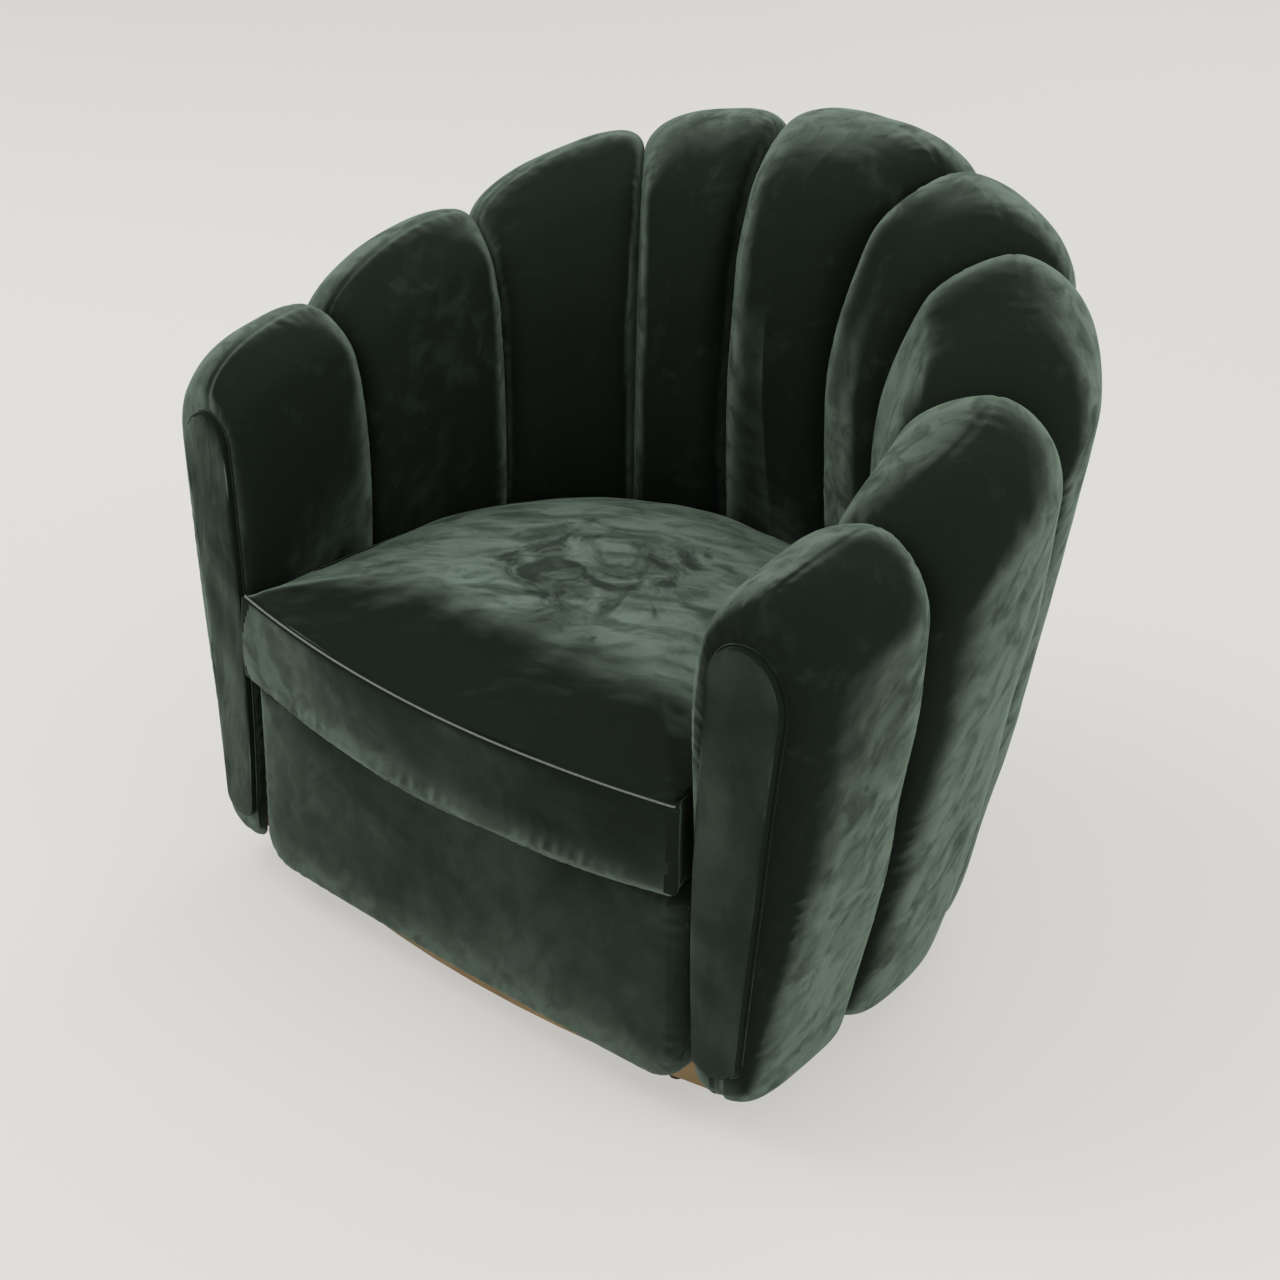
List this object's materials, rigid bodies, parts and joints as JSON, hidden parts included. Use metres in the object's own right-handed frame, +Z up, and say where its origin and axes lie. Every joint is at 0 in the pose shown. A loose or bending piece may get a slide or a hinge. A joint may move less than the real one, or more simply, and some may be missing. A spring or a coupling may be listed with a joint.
{
  "type": "scallop back tub chair",
  "caption": "Velvet tub armchair: a rounded wall of upright padded channels with a scalloped top, a loose boxed seat cushion, a bowed front panel and a low metal plinth",
  "frame": {"origin": "the middle of the chair's footprint on the floor", "axes": "+X to the sitter's left, which is a viewer's right; -Y is the front; +Z up"},
  "size_m": [0.9182, 0.7973, 0.809],
  "materials": {
    "velvet": "cut velvet, dark bottle green",
    "piping": "satin piping, pale grey green",
    "foam": "open-cell foam",
    "deck_cloth": "dark woven deck cloth",
    "dust_cloth": "black spunbond dust cover",
    "frame_timber": "planed, unvarnished",
    "plywood": "sanded plywood",
    "plinth_metal": "brushed, bronze toned",
    "spring_steel": "drawn wire",
    "glide_nylon": "moulded nylon"
  },
  "bodies": {
    "root": {"channel_centre": "velvet", "channel_left_near": "velvet", "channel_right_near": "velvet", "channel_left_rear": "velvet", "channel_right_rear": "velvet", "channel_left_fore": "velvet", "channel_right_fore": "velvet", "channel_left_arm": "velvet", "channel_right_arm": "velvet", "stave_centre": "plywood", "stave_left_near": "plywood", "stave_right_near": "plywood", "stave_left_rear": "plywood", "stave_right_rear": "plywood", "stave_left_fore": "plywood", "stave_right_fore": "plywood", "stave_left_arm": "plywood", "stave_right_arm": "plywood", "arm_facing_left": "velvet", "arm_facing_right": "velvet", "facing_board_left": "plywood", "facing_board_right": "plywood", "base_hoop_left": "frame_timber", "base_hoop_right": "frame_timber", "seat_hoop_left": "frame_timber", "seat_hoop_right": "frame_timber", "base_front_rail": "frame_timber", "seat_front_rail": "frame_timber", "front_post_left": "frame_timber", "front_post_right": "frame_timber", "plinth_front": "plinth_metal", "plinth_left": "plinth_metal", "plinth_right": "plinth_metal", "plinth_back": "plinth_metal", "glide_front_left": "glide_nylon", "glide_front_right": "glide_nylon", "glide_back_left": "glide_nylon", "glide_back_right": "glide_nylon", "seat_spring_1": "spring_steel", "seat_spring_2": "spring_steel", "seat_spring_3": "spring_steel", "seat_spring_4": "spring_steel", "seat_spring_5": "spring_steel", "clip_strip_front": "spring_steel", "clip_strip_back": "spring_steel", "seat_deck": "deck_cloth", "dust_cover": "dust_cloth", "front_panel": "velvet", "front_panel_board": "plywood"},
    "seat_cushion": {"seat_cushion": "velvet", "cushion_core": "foam", "cushion_piping": "piping"}
  },
  "joints": [
    {"name": "seat_cushion_lift", "type": "slide", "parent": "root", "child": "seat_cushion", "axis": [0, 0, 1], "range_m": [0, 0.55]}
  ]
}
